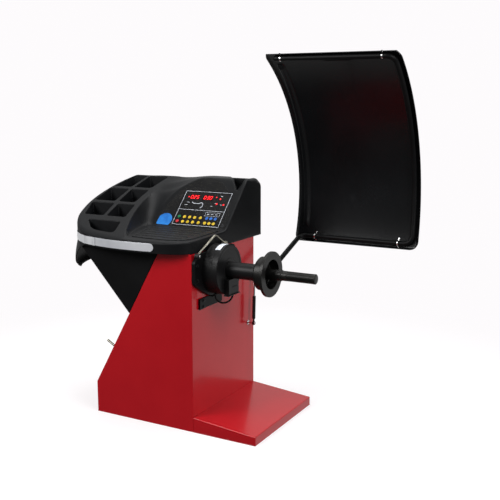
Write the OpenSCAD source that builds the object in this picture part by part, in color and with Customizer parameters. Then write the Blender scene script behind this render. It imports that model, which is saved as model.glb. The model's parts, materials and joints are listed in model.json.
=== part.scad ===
// Wheel balancer: cabinet, weight tray, spindle with its drive, rim gauge and swinging wheel hood.
// Frame: origin on the floor under the spindle axis, at the cabinet's right face. +X runs out along
// the spindle, +Y to the back, +Z up. Millimetres.

/* [Cabinet] */
// Width of the cabinet at the floor
cab_w = 494; // [470:1:520]
// Depth of the cabinet, front to back
cab_d = 512; // [490:1:530]
// Height of the short upright part of the left side
kick_h = 136; // [110:1:160]
// Sideways run of the sloping left side for each unit of height
side_slope = 0.5639; // [0.54:0.001:0.58]
// Thickness of the cabinet's sheet
sheet_t = 2; // [1.5:0.5:2.5]
// Height of the cabinet's top edge, where the tray rests
cab_top = 738; // [735:1:738]

/* [Base] */
// How far the base reaches out under the wheel
base_len = 287; // [260:1:300]
// Height of the base where it meets the cabinet
base_high = 63; // [55:1:70]
// Height of the base at its outer end
base_low = 37.5; // [30:0.5:45]

/* [Tray] */
// Height of the tray's lower edge
tray_bottom = 738; // [735:1:740]
// Wall thickness of the tray moulding
tray_wall = 4; // [3:0.5:5]
// Rise of the weight deck for each unit of depth
deck_slope = 0.313; // [0.3:0.001:0.32]
// Depth of the weight pockets
pocket_depth = 40; // [30:1:44]
// Height of the accent strip
strip_h = 34; // [28:1:36]

/* [Panel] */
// Slope of the control panel above the horizontal, in degrees
panel_tilt = 46.5; // [44:0.5:48]
// Width of the panel face
panel_w = 358; // [340:1:360]

/* [Spindle] */
// Height of the spindle axis above the floor
axis_h = 659.5; // [650:0.5:665]
// Radius of the threaded wheel shaft
shaft_r = 20; // [18:0.5:20]
// Thread pitch of the wheel shaft
thread_p = 4; // [3:0.5:5]
// Radius of the wheel flange
flange_r = 91; // [85:1:95]
// Radius of the cup bore in the flange
cup_r = 59; // [50:1:60]
// Radius of the bearing drum
drum_r = 102.5; // [98:0.5:104]
// Radius of the tube around the spindle
sleeve_r = 33.5; // [32:0.5:36]

/* [Drive] */
// Radius of the pulley on the spindle
big_pulley_r = 66; // [60:1:70]
// Radius of the pulley on the motor
small_pulley_r = 22; // [20:1:24]
// Radius of the motor body
motor_r = 60; // [50:1:65]

/* [Gauge] */
// Radius of the sliding gauge rod
gauge_r = 6; // [5:0.5:7]
// Reach of the gauge rod inside the cabinet
gauge_in = 290; // [260:10:300]

/* [Hood] */
// Radius of the hood's arc, on its hollow side
hood_r = 800; // [790:1:805]
// Width of the hood
hood_w = 600; // [580:1:610]
// Radius of the frame tube
tube_r = 11; // [10:0.5:12]
// Radius of the hood's pivot shaft
pivot_r = 12.5; // [11:0.5:14]

/* [Strut] */
// Radius of the gas strut's cylinder
strut_r = 7.5; // [6:0.5:8]
// Radius of the gas strut's rod
strut_rod_r = 4; // [3:0.5:4]

/* [Hidden] */
$fn = 64;
run = 0.05;                      // radial clearance of a running fit
front_y = -152;                  // cabinet's front face
back_y = front_y + cab_d;
plate_t = 3;                     // base plate
wall_x = -sheet_t;               // inner face of the right wall
tray_back = 428;
tray_right = 4;
strip_z = 745;
skirt_belly = 655;               // height of the left skirt's widest line
panel_foot = [111, 796];         // lower edge of the panel plane, Y and Z
panel_len = 273;                 // along the slope, foot to apex
panel_x = -181;                  // middle of the panel face
panel_top = 996;                 // flat top behind the panel
drum_x = [16, 85];
sleeve_x = [85, 224];
hub_x = 225.5;
flange_x = 280;                  // wheel's resting face
boss_x = 325;
shaft_x = 326;                   // start of the wheel shaft's full radius
tip_x = 469.5;
journal_r = 12.5;
bearing_r = 26;
bearing_w = 15;
pulley_x = [-122, -98];
motor_pos = [120, 455];          // motor axis, Y and Z
gauge_pos = [73, 750];           // gauge rod axis, Y and Z
gauge_x = 22;                    // plane of the bent bar
hood_c = [-99, 867];             // centre of the hood's arc, Y and Z
hood_x = 56;                     // hood's left edge
hood_a = [-13.7, 55.9];          // lower and upper end of the hood's arc
pivot = [334, 577];              // hood pivot, Y and Z
arm_x = 85;                      // plane of the hood arm
strut_foot = [307, 354];         // lower ball of the strut, Y and Z
crank = [-17, 29];               // strut pin from the hood pivot
strut_x = 30;
strut_tilt = atan2(pivot[0] + crank[0] - strut_foot[0], pivot[1] + crank[1] - strut_foot[1]);
strut_len = norm([pivot[0] + crank[0] - strut_foot[0], pivot[1] + crank[1] - strut_foot[1]]);

// ---- helpers

// Turns local +Z to +X at a point
module along_x(x, y, z) translate([x, y, z]) rotate([0, 90, 0]) children();

// Solid of revolution about the spindle axis; points are [x, r]
module turned(points) translate([0, 0, axis_h]) rotate([0, 90, 0]) rotate_extrude($fn = 96)
    polygon([for (p = points) [p[1], p[0]]]);

// Y-Z outline with its thickness along +X
module yz_slab(x, t) translate([x, 0, 0]) rotate([90, 0, 90]) linear_extrude(t) children();

// X-Z outline with its thickness along Y, from y0 to y1
module xz_slab(y0, y1) translate([0, y1, 0]) rotate([90, 0, 0]) linear_extrude(y1 - y0) children();

module box(a, b) translate(a) cube(b - a);

// Hexagon screw head on a face that looks to +X, with its washer
module x_screw(p, r) along_x(p[0], p[1], p[2]) {
    cylinder(h = 1.2, r = r * 1.35);
    cylinder(h = r * 0.9, r = r, $fn = 6);
}

// Curve of n steps from a to c, pulled towards b; the end point is left out
function bez(a, b, c, n = 8) =
    [for (i = [0:n - 1]) let (t = i / n) pow(1 - t, 2) * a + 2 * t * (1 - t) * b + t * t * c];

function unit(v) = v / norm(v);
function side(a, b) = let (u = unit(b - a)) [-u[1], u[0]];

// Outline moved inwards by d (anticlockwise outlines)
function inset(p, d) = [for (i = [0:len(p) - 1])
    let (a = side(p[(i + len(p) - 1) % len(p)], p[i]), b = side(p[i], p[(i + 1) % len(p)]), m = unit(a + b))
    p[i] + m * d / (m * a)];

// Round tube along a path; ref gives a direction that is never along the path
module sweep(path, r, ref, n = 12) {
    last = len(path) - 1;
    function dir(i) = unit(path[min(i + 1, last)] - path[max(i - 1, 0)]);
    rings = [for (i = [0:last])
        let (t = dir(i), q = unit(ref[i] - (ref[i] * t) * t), w = cross(t, q))
        for (k = [0:n - 1]) path[i] + r * (cos(360 * k / n) * q + sin(360 * k / n) * w)];
    skin = [for (i = [0:last - 1]) for (k = [0:n - 1])
        [i * n + k, (i + 1) * n + k, (i + 1) * n + (k + 1) % n, i * n + (k + 1) % n]];
    ends = [[for (k = [0:n - 1]) k], [for (k = [n - 1:-1:0]) last * n + k]];
    polyhedron(rings, concat(skin, ends), convexity = 6);
}

// ---- cabinet and base

function side_x(z, t = 0) =
    -cab_w + (z - kick_h) * side_slope + t * sqrt(1 + side_slope * side_slope);

function kink_z(t) = kick_h - t * (sqrt(1 + side_slope * side_slope) - 1) / side_slope;

module cabinet_outline(t, top) polygon([
    [-t, plate_t], [-t, top], [side_x(top, t), top], [-cab_w + t, kink_z(t)], [-cab_w + t, plate_t]]);

module base_plate() color("firebrick")
    box([-cab_w, front_y, 0], [base_len, back_y, plate_t]);

module cabinet_shell() color("firebrick") difference() {
    xz_slab(front_y, back_y) cabinet_outline(0, cab_top);
    translate([0, 0, -1]) xz_slab(front_y + sheet_t, back_y + 10) cabinet_outline(sheet_t, cab_top + 10);
    along_x(-10, 0, axis_h) cylinder(h = 20, r = sleeve_r + 3);
    along_x(-10, pivot[0], pivot[1]) cylinder(h = 20, r = 18);
}

module base_extension() color("firebrick") difference() {
    xz_slab(front_y, back_y)
        polygon([[0, plate_t], [0, base_high], [base_len, base_low], [base_len, plate_t]]);
    xz_slab(front_y + sheet_t, back_y - sheet_t) polygon([[sheet_t, plate_t - 1],
        [sheet_t, base_high - sheet_t * 1.1], [base_len - sheet_t, base_low - sheet_t * 0.9],
        [base_len - sheet_t, plate_t - 1]]);
}

module rear_panel() color("dimgray") difference() {
    xz_slab(back_y - 1.5, back_y) cabinet_outline(sheet_t + 0.7, cab_top - 2);
    box([-300, back_y - 10, 220], [-252, back_y + 10, 248]);
    box([-236, back_y - 10, 220], [-209, back_y + 10, 247]);
    for (i = [0:9]) box([-300, back_y - 10, 330 + i * 14], [-110, back_y + 10, 335 + i * 14]);
}

module tray_support() color([0.07, 0.07, 0.075]) difference() {
    xz_slab(front_y, back_y) support_outline(0);
    xz_slab(front_y + sheet_t, back_y - sheet_t) support_outline(sheet_t);
}

module support_outline(t) {
    tip = 461;
    lean = 0.9175;
    top = tray_bottom + t;
    foot = tip + t * 3;
    corner = top - 20;           // cut off clear of the tray's skirt
    left = side_x(tip) - (corner - tip) * lean + t * 1.4;
    polygon([[side_x(foot) - t * 1.2 - 0.1, foot], [side_x(top) - t * 1.2 - 0.1, top],
        [left, top], [left, corner]]);
}

module accessory_pegs() color("gray") for (y = [-62, 98, 258])
    translate([-427, y, 255]) rotate([0, -(90 - atan(side_slope)), 0]) {
        cylinder(h = 86, r = 5);
        translate([0, 0, 0.1]) cylinder(h = 7.9, r = 9, $fn = 6);
    }

// ---- tray

function deck_z(y) = 787 + deck_slope * (y + 197);
function ledge_z(y) = 788 + 0.028 * (y + 172);

outline = concat(
    [[tray_right, -100], [tray_right, tray_back]],
    bez([-685, 428], [-724, 340], [-727, 240]),
    bez([-727, 240], [-735, 110], [-674, -20]),
    bez([-674, -20], [-608, -136], [-500, -182]),
    bez([-500, -182], [-330, -240], [-121, -203]),
    bez([-121, -203], [4, -185], [tray_right, -100]));

// Right edge of the weight deck, seen from above
deck_edge = concat(
    bez([-301, -172], [-455, 60], [-466, 330]),
    [[-466, 330], [-437, 420], [-437, 500]]);

// Weight pockets: [front left x, front right x, front y, back left x, back right x, back y]
pockets = [
    [-508, -374, -135, -583, -415, -66],
    [-638, -542, -14, -690, -575, 98],
    [-517, -425, -14, -545, -461, 98],
    [-697, -590, 129, -706, -608, 253],
    [-560, -480, 129, -585, -496, 253],
    [-703, -612, 284, -682, -612, 408],
    [-588, -500, 284, -588, -492, 408]];
corner_pocket = [[-24, 255], [-14, 408], [-150, 408]];
corner_depth = 60;

function pocket_outline(p) = [[p[0], p[2]], [p[1], p[2]], [p[4], p[5]], [p[3], p[5]]];
function pocket_floor(p) = deck_z(p[2]) - pocket_depth;

module deck_area(d) translate([-d, 0]) polygon(concat([[-301, -260]], deck_edge, [[-820, 500], [-820, -260]]));

module body_area(d) translate([d, 0]) difference() {
    translate([-820, -260]) square([840, 760]);
    deck_area(0);
}

// Space under the tray's surface, with walls and top moved in by d
module tray_mass(d, low) {
    intersection() {
        translate([0, 0, low]) linear_extrude(400) intersection() {
            polygon(inset(outline, d));
            deck_area(d);
        }
        yz_slab(-800, 820) polygon([[-300, 600], [500, 600], [500, deck_z(500) - d],
            [-300, deck_z(-300) - d]]);
    }
    intersection() {
        translate([0, 0, low]) linear_extrude(400) intersection() {
            polygon(inset(outline, d));
            body_area(d);
        }
        yz_slab(-800, 820) polygon([[-300, 600], [500, 600], [tray_back, 950 - d], [412, 982 - d],
            [385, panel_top - d], [301, panel_top - d], [panel_foot[0] + d / 2, ledge_z(panel_foot[0]) - d],
            [-300, ledge_z(-300) - d]]);
    }
}

module tray_pockets(d) {
    for (p = pockets) translate([0, 0, pocket_floor(p) - d]) linear_extrude(300)
        polygon(inset(pocket_outline(p), -d));
    translate([0, 0, panel_top - corner_depth - d]) linear_extrude(300) polygon(inset(corner_pocket, -d));
}

// Skirt that hangs lower round the left side, bulged like the rim of a bowl
module left_skirt(d, low) {
    hull() {
        translate([0, 0, tray_bottom + 1]) linear_extrude(1) polygon(inset(outline, d));
        translate([0, 0, skirt_belly]) linear_extrude(1) polygon(inset(outline, d - 14));
        translate([0, 0, low]) linear_extrude(1) polygon(inset(outline, d + 10));
    }
}

module weight_tray() color([0.09, 0.095, 0.1]) {
    difference() {
        union() {
            difference() {
                tray_mass(0, tray_bottom);
                tray_mass(tray_wall, tray_bottom - 100);
                translate([0, 0, 600]) linear_extrude(775 - 600) polygon(inset(outline, tray_wall));
            }
            intersection() {
                tray_mass(0, tray_bottom);
                tray_pockets(3);
            }
        }
        tray_pockets(0);
        along_x(-10, gauge_pos[0], gauge_pos[1]) cylinder(h = 20, r = 11);
        for (y = key_y) on_panel(-12) translate([press_x, y, 0]) cylinder(h = 30, r = key_r + 0.8);
    }
    intersection() {
        difference() {
            left_skirt(0.6, 615);
            left_skirt(tray_wall - 0.6, 613);
        }
        xz_slab(-300, tray_back - 1) polygon([[-800, 600], [-642, 600], [-548, tray_bottom + 5],
            [-800, tray_bottom + 5]]);
    }
}

module ledge_mat() color([0.06, 0.06, 0.065]) difference() {
    intersection() {
        translate([0, 0, 780]) linear_extrude(60)
            polygon([[-290, -160], [-120, -172], [-40, -150], [-14, -90], [-14, 106],
                [-352, 106], [-372, 50]]);
        yz_slab(-400, 400) polygon([[-180, ledge_z(-180)], [108, ledge_z(108)],
            [108, ledge_z(108) + 3], [-180, ledge_z(-180) + 3]]);
    }
    for (i = [0:6]) translate([-340 + i * 6, -140 + i * 34, ledge_z(-140 + i * 34) + 1]) cube([300, 7, 10]);
}

module accent_strip() color("silver") intersection() {
    difference() {
        translate([0, 0, strip_z]) linear_extrude(strip_h) polygon(inset(outline, -2));
        translate([0, 0, strip_z - 1]) linear_extrude(strip_h + 2) polygon(inset(outline, 0));
    }
    xz_slab(-300, -30) union() {
        translate([-800, strip_z]) square([620, strip_h]);
        translate([-180, strip_z + strip_h / 2]) circle(r = strip_h / 2);
    }
}

// ---- control panel; local X across, local Y up the slope, local Z off the face

module on_panel(h = 0) translate([panel_x, panel_foot[0], panel_foot[1]]) rotate([panel_tilt, 0, 0])
    translate([0, 0, h]) children();

// Half oval on the panel
module arch(r, low, high) polygon([for (a = [0:5:180]) [r * cos(a), low + (high - low) * sin(a)]]);

face_t = 1.2;                    // panel film above the moulding
key_r = 7.5;
key_y = [29, 54];                // key rows, up the slope
yellow_x = [-44, -18, 8, 37];
press_x = -71;
side_x_keys = [69, 90, 112];

module panel_overlay() color([0.05, 0.05, 0.055]) difference() {
    on_panel(0.5) linear_extrude(face_t) arch(panel_w / 2 - 3, 2, panel_len - 1);
    for (y = key_y) on_panel(-2) translate([press_x, y, 0]) cylinder(h = 20, r = key_r + 0.8);
}

module display_glass() color("maroon") on_panel(face_t + 0.5) {
    translate([-60, 148, 0]) cube([48, 29, 1]);
    translate([6, 148, 0]) cube([50, 29, 1]);
}

module led_digits() color("red") on_panel(face_t + 1.5) for (x = [-56, -41, -26, 11, 26, 41])
    translate([x, 154, 0]) difference() {
        cube([11, 17, 0.6]);
        translate([2.5, 2.5, -1]) cube([6, 5, 3]);
        translate([2.5, 9.5, -1]) cube([6, 5, 3]);
    }

module key() cylinder(h = 2, r = key_r);

module yellow_keys() color("gold") on_panel(face_t + 0.5) {
    for (x = yellow_x, y = key_y) translate([x, y, 0]) key();
    for (x = side_x_keys) translate([x, key_y[0], 0]) key();
}

module blue_keys() color("royalblue") on_panel(face_t + 0.5)
    for (x = side_x_keys) translate([x, key_y[1], 0]) key();

module press_key(y) on_panel(2) translate([press_x, y, 0]) cylinder(h = 2.4, r = key_r);

module start_button() color("seagreen") press_key(key_y[1]);
module stop_button() color("crimson") press_key(key_y[0]);

module panel_badge() color("steelblue") on_panel(face_t + 0.5) linear_extrude(0.8) intersection() {
    translate([-139, 28]) circle(r = 38);
    arch(panel_w / 2 - 5, 4, panel_len - 3);
}

module main_board() color("darkgreen") on_panel(-22) {
    translate([-110, 30, 0]) cube([220, 190, 1.6]);
    for (x = [-90, -40, 20, 70]) translate([x, 60, -8]) cube([30, 24, 8]);
}

// ---- spindle and its housing

module mounting_plate() color([0.1, 0.1, 0.1]) difference() {
    yz_slab(0, drum_x[0]) polygon([[-150, 706], [-150, 615], [-74, 569], [-27, 549], [80, 549],
        [172, 600], [172, 716], [163, 736], [-112, 736]]);
    along_x(-1, 0, axis_h) cylinder(h = 20, r = sleeve_r);
}

module plate_bolts() color("dimgray") for (p = [[-132, 690], [-132, 629], [150, 700], [150, 625]])
    x_screw([drum_x[0], p[0], p[1]], 6);

module drum_housing() color([0.1, 0.1, 0.1]) turned([[drum_x[0], drum_r - 1], [drum_x[0], drum_r - 5],
    [60, drum_r - 5], [60, drum_r], [drum_x[0] + 2, drum_r]]);

module drum_cover() color([0.12, 0.12, 0.12]) turned([[60, drum_r - 5], [81, drum_r - 5], [81, sleeve_r + 0.2],
    [drum_x[1], sleeve_r + 0.2], [drum_x[1], drum_r - 2], [drum_x[1] - 2, drum_r], [60, drum_r]]);

module drum_label() color("white") along_x(50, 0, axis_h) rotate([0, 0, 161])
    rotate_extrude(angle = 50, $fn = 96) translate([drum_r, 0]) square([0.5, 24]);

module terminal_box() color([0.13, 0.13, 0.13]) difference() {
    union() {
        box([drum_x[1], -40, 562], [106, 40, 625]);
        box([drum_x[1], -46, 558], [110, 44, 562]);
    }
    along_x(80, 0, axis_h) cylinder(h = 40, r = sleeve_r + 0.2);
    box([103, -12, 590], [110, 26, 595]);
    box([88, -32, 566], [103, 32, 586]);
}

module sensor_cable() {
    path = concat([[46, -47, 566.2]], [for (i = [0:16]) let (a = 176 * i / 16)
        [71 - 25 * cos(a), -19 - 28 * cos(a), 560 - 36 * sin(a)]]);
    color("black") sweep(path, 3.8, [for (p = path) [1, 0.3, 0]], 10);
}

module lower_bracket() color([0.12, 0.12, 0.12]) {
    box([0, -104, 505], [6, 73, 548]);
    box([6, -104, 505], [9, -60, 548]);
}

module bracket_bolts() color("dimgray") for (z = [514, 538]) x_screw([9, -76, z], 5);

module bearing_housing() color("dimgray") turned([[-90, bearing_r], [-90, sleeve_r], [drum_x[0], sleeve_r],
    [drum_x[0], 60], [28, 60], [28, sleeve_r], [sleeve_x[1], sleeve_r], [sleeve_x[1], bearing_r],
    [sleeve_x[1] - bearing_w - 4, bearing_r], [sleeve_x[1] - bearing_w - 4, 18],
    [-71, 18], [-71, bearing_r]]);

module bearing(x) turned([[x, journal_r + run], [x, 17], [x + 1, 17], [x + 1, 21.5], [x, 21.5],
    [x, bearing_r], [x + bearing_w, bearing_r], [x + bearing_w, 21.5], [x + bearing_w - 1, 21.5],
    [x + bearing_w - 1, 17], [x + bearing_w, 17], [x + bearing_w, journal_r + run]]);

module front_bearing() color("silver") bearing(sleeve_x[1] - bearing_w - 2);
module rear_bearing() color("silver") bearing(-88);

threads = floor((462 - 345) / thread_p);

// One turn of thread as a ring groove between two crests
function groove(i) = let (x = 345 + i * thread_p, q = thread_p / 4)
    [[x, shaft_r], [x + q, shaft_r - 1.8], [x + 2 * q, shaft_r - 1.8], [x + 3 * q, shaft_r]];

module spindle_shaft() color([0.18, 0.18, 0.18]) turned(concat(
    [[-136, 0], [-136, journal_r - 1], [-135, journal_r], [hub_x, journal_r], [hub_x, 18],
     [shaft_x, 18], [shaft_x, shaft_r]],
    [for (i = [0:threads - 1]) each groove(i)],
    [[tip_x - 3, shaft_r], [tip_x, shaft_r - 3], [tip_x, 0]]));

module hub_flange() color([0.22, 0.22, 0.22]) turned([
    [hub_x, 18], [hub_x, 61], [hub_x + 6, 67], [flange_x - 12, 67],
    [flange_x - 12, flange_r - 1], [flange_x - 11, flange_r], [flange_x - 1, flange_r],
    [flange_x, flange_r - 1], [flange_x, cup_r + 1], [flange_x - 1, cup_r], [240, cup_r], [240, 22],
    [boss_x - 1.5, 22], [boss_x, shaft_r + 0.5], [boss_x, 18]]);

module spindle_pulley() color("gray") turned(concat(
    [[pulley_x[0], journal_r], [pulley_x[0], big_pulley_r + 3], [pulley_x[0] + 3, big_pulley_r + 3],
     [pulley_x[0] + 3, big_pulley_r], [pulley_x[1] - 3, big_pulley_r],
     [pulley_x[1] - 3, big_pulley_r + 3], [pulley_x[1], big_pulley_r + 3], [pulley_x[1], journal_r]]));

encoder_x = -131;

module encoder_disc() color("lightgray") turned([[encoder_x - 4, journal_r], [encoder_x - 4, 18],
    [encoder_x, 18], [encoder_x, 40], [encoder_x + 1.5, 40], [encoder_x + 1.5, journal_r]]);

module encoder_reader() color("black") difference() {
    box([encoder_x - 8, -10, axis_h + 32], [encoder_x + 7, 10, axis_h + 56]);
    box([encoder_x - 1.5, -11, axis_h + 20], [encoder_x + 3, 11, axis_h + 43]);
}

module piezo_sensors() color("lightgray") for (x = [-62, -30])
    translate([x, 0, axis_h - sleeve_r - 12]) cylinder(h = 11.5, r = 11);

// ---- drive

module belt_loop(r) hull() {
    translate([0, axis_h]) circle(r = big_pulley_r + r);
    translate(motor_pos) circle(r = small_pulley_r + r);
}

module drive_belt() color([0.15, 0.15, 0.15]) yz_slab(pulley_x[0] + 4, 16) difference() {
    belt_loop(3.3);
    belt_loop(0.3);
}

motor_x = [-88, -8];
motor_shaft_r = 7;
core_r = 36;

module motor() color("dimgray") along_x(motor_x[0], motor_pos[0], motor_pos[1]) difference() {
    cylinder(h = motor_x[1] - motor_x[0], r = motor_r);
    translate([0, 0, -1]) cylinder(h = 100, r = motor_shaft_r + run);
    translate([0, 0, 10]) cylinder(h = 60, r = core_r + 0.5);
    for (a = [0:20:340]) rotate([0, 0, a]) translate([motor_r - 3, -1.5, 12]) cube([5, 3, 56]);
}

module motor_rotor() color("silver") along_x(pulley_x[0], motor_pos[0], motor_pos[1]) {
    cylinder(h = motor_x[1] - 4 - pulley_x[0], r = motor_shaft_r);
    cylinder(h = 3, r = small_pulley_r + 3);
    cylinder(h = 24, r = small_pulley_r);
    translate([0, 0, 21]) cylinder(h = 3, r = small_pulley_r + 3);
    translate([0, 0, motor_x[0] - pulley_x[0] + 12]) cylinder(h = 56, r = core_r);
}

module motor_bracket() color("gray") difference() {
    union() {
        box([motor_x[1], 30, 380], [wall_x, 210, 532]);
        box([-80, -40, 600], [wall_x, 40, axis_h - sleeve_r - 12.2]);
    }
    along_x(-20, motor_pos[0], motor_pos[1]) cylinder(h = 30, r = 20);
}

module power_board() color("darkgreen") {
    box([-420, 60, 24], [-230, 220, 26]);
    for (x = [-400, -350, -290]) box([x, 90, 26], [x + 34, 130, 60]);
    for (x = [-410, -250], y = [70, 200]) translate([x, y, plate_t]) cylinder(h = 21, r = 4);
}

module transformer() color("peru") translate([-120, 230, plate_t])
    rotate_extrude() translate([18, 0]) square([36, 52]);

// ---- rim gauge

module gauge_bush() color("dimgray") difference() {
    union() {
        along_x(-34, gauge_pos[0], gauge_pos[1]) cylinder(h = 34 + tray_right, r = 11);
        along_x(tray_right, gauge_pos[0], gauge_pos[1]) cylinder(h = 6, r = 13.5);
    }
    along_x(-40, gauge_pos[0], gauge_pos[1]) cylinder(h = 60, r = gauge_r + run);
}

module gauge_carriage() color("dimgray") difference() {
    box([8 - gauge_in, 58, 744.5], [30 - gauge_in, 88, 768]);
    along_x(-gauge_in, gauge_pos[0], gauge_pos[1]) cylinder(h = 60, r = gauge_r + run);
}

module gauge_rod() color("silver") {
    along_x(-gauge_in, gauge_pos[0], gauge_pos[1]) cylinder(h = gauge_in + 32, r = gauge_r);
    along_x(1 - gauge_in, gauge_pos[0], gauge_pos[1]) cylinder(h = 6.7, r = 9);
    along_x(30.3 - gauge_in, gauge_pos[0], gauge_pos[1]) cylinder(h = 6, r = 9);
}

bar_bend = [gauge_x, -4, 799];
bar_knob = [gauge_x, -146, 733];

module gauge_arm() color("silver") {
    hub = [gauge_x, gauge_pos[0], gauge_pos[1]];
    in = unit(bar_bend - hub);
    out = unit(bar_knob - bar_bend);
    path = concat([hub + 10.5 * in], bez(bar_bend - 10 * in, bar_bend, bar_bend + 10 * out, 5),
        [bar_bend + 10 * out, bar_knob - 11.5 * out]);
    sweep(path, 4, [for (p = path) [1, 0, 0]]);
    difference() {
        along_x(gauge_x - 7, hub[1], hub[2]) cylinder(h = 14, r = 11);
        along_x(gauge_x - 8, hub[1], hub[2]) cylinder(h = 16, r = gauge_r);
    }
}

module gauge_knob() color([0.1, 0.1, 0.1]) along_x(gauge_x - 5, bar_knob[1], bar_knob[2]) {
    cylinder(h = 20, r = 11);
    cylinder(h = 23, r = 4);
}

// ---- hood

module hood_bearing() color([0.1, 0.1, 0.1]) difference() {
    union() {
        along_x(0, pivot[0], pivot[1]) cylinder(h = 6, r = 25);
        along_x(-44, pivot[0], pivot[1]) cylinder(h = 64, r = 17.5);
    }
    along_x(-50, pivot[0], pivot[1]) cylinder(h = 100, r = pivot_r + run);
}

module hood_shaft() color("silver") {
    along_x(-50, pivot[0], pivot[1]) cylinder(h = 148, r = pivot_r);
    along_x(-50, pivot[0], pivot[1]) cylinder(h = 5.7, r = 17);
}

module hood_crank() color([0.1, 0.1, 0.1]) difference() {
    union() {
        along_x(40, pivot[0], pivot[1]) cylinder(h = 8, r = 18);
        along_x(74, pivot[0], pivot[1]) cylinder(h = 22, r = 18);
        yz_slab(40, 8) hull() {
            translate(pivot) circle(r = 14);
            translate(pivot + crank) circle(r = 7);
        }
        along_x(22, pivot[0] + crank[0], pivot[1] + crank[1]) cylinder(h = 20, r = 3);
    }
    along_x(0, pivot[0], pivot[1]) cylinder(h = 100, r = pivot_r);
}

tube_way = hood_r - 12;          // radius of the frame tube's centre line
tube_a = [-11.8, 54.3];          // lower and upper run
tube_right = 628;
bend = 42;
bead_a = [-8.5, 50.5];           // ends of the stiffening bead
bead_h = 10;

function on_hood(x, r, a) = [x, hood_c[0] + r * cos(a), hood_c[1] + r * sin(a)];

module hood_tube() {
    from = [arm_x, pivot[0], pivot[1]];
    low = on_hood(arm_x, tube_way, tube_a[0]);
    arm = unit(low - from);
    step = bend / tube_way * 180 / PI;
    path = concat(
        [from + 19 * arm, low - (bend + 60) * arm],
        bez(low - bend * arm, low, low + [bend, 0, 0]),
        [low + [bend, 0, 0]],
        bez(on_hood(tube_right - bend, tube_way, tube_a[0]), on_hood(tube_right, tube_way, tube_a[0]),
            on_hood(tube_right, tube_way, tube_a[0] + step)),
        [for (i = [0:12]) on_hood(tube_right, tube_way,
            tube_a[0] + step + i * (tube_a[1] - tube_a[0] - 2 * step) / 13)],
        bez(on_hood(tube_right, tube_way, tube_a[1] - step), on_hood(tube_right, tube_way, tube_a[1]),
            on_hood(tube_right - bend, tube_way, tube_a[1])),
        [on_hood(tube_right - bend, tube_way, tube_a[1]), on_hood(100, tube_way, tube_a[1])]);
    color([0.1, 0.1, 0.1]) sweep(path, tube_r, [for (p = path) [0, p[1] - hood_c[0], p[2] - hood_c[1]]]);
}

module hood_arc(a, b) along_x(hood_x, hood_c[0], hood_c[1]) rotate([0, 0, 90 + a])
    rotate_extrude(angle = b - a, $fn = 180) children();

module hood_shell() color([0.07, 0.075, 0.08]) {
    hood_arc(hood_a[0], hood_a[1]) translate([hood_r, 0]) square([4, hood_w]);
    hood_arc(bead_a[0], bead_a[1]) polygon([[hood_r + 1, 30], [hood_r - bead_h, 38], [hood_r - bead_h, 56],
        [hood_r + 1, 64]]);
}

module hood_clips() color("silver") for (c = [[161, 0], [565, 0], [130, 1], [580, 1]])
    translate(on_hood(c[0] - 3, tube_way, tube_a[c[1]])) rotate([tube_a[c[1]], 0, 0])
    rotate([0, 90, 0]) linear_extrude(6) difference() {
        union() {
            circle(r = tube_r + 2);
            translate([-tube_r - 2, 0]) square([2 * tube_r + 4, 11.1]);
            translate([-24, 9.6]) square([48, 1.5]);
        }
        circle(r = tube_r + 0.3);
        translate([-tube_r - 0.3, 0]) square([2 * tube_r + 0.6, 14]);
    }

// ---- gas strut

module on_strut(s) translate([strut_x, strut_foot[0], strut_foot[1]]) rotate([-strut_tilt, 0, 0])
    translate([0, 0, s]) children();

module strut_stud() color("silver") {
    along_x(0, strut_foot[0], strut_foot[1]) cylinder(h = 5, r = 9, $fn = 6);
    along_x(0, strut_foot[0], strut_foot[1]) cylinder(h = 37, r = 4);
    along_x(35, strut_foot[0], strut_foot[1]) cylinder(h = 3, r = 7);
}

module strut_cylinder() color([0.08, 0.08, 0.08]) difference() {
    union() {
        on_strut(0) rotate([0, 90, 0]) translate([0, 0, -4.5]) cylinder(h = 9, r = 9);
        on_strut(0) cylinder(h = 22, r = 4);
        on_strut(20) cylinder(h = 104, r = strut_r);
    }
    on_strut(0) rotate([0, 90, 0]) translate([0, 0, -10]) cylinder(h = 20, r = 4 + run);
    on_strut(26) cylinder(h = 120, r = strut_rod_r + run);
}

module strut_rod() color("silver") difference() {
    union() {
        on_strut(62) cylinder(h = strut_len - 66, r = strut_rod_r);
        on_strut(strut_len) rotate([0, 90, 0]) translate([0, 0, -4]) cylinder(h = 8, r = 10);
    }
    on_strut(strut_len) rotate([0, 90, 0]) translate([0, 0, -10]) cylinder(h = 20, r = 6.5);
}

// ---- rear fittings

module power_switch() color("black") along_x(-235, 352, 233.5) cylinder(h = 25, r = 13);

module mains_inlet() color("black") {
    difference() {
        box([-299.5, 338, 220.5], [-252.5, back_y + 3, 247.5]);
        box([-294, 346, 224], [-258, back_y + 10, 244]);
    }
    for (p = [[-285, 231], [-276, 238], [-267, 231]])
        box([p[0] - 1, 345, p[1] - 2], [p[0] + 1, 357, p[1] + 2]);
}

// ---- assembly

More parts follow.
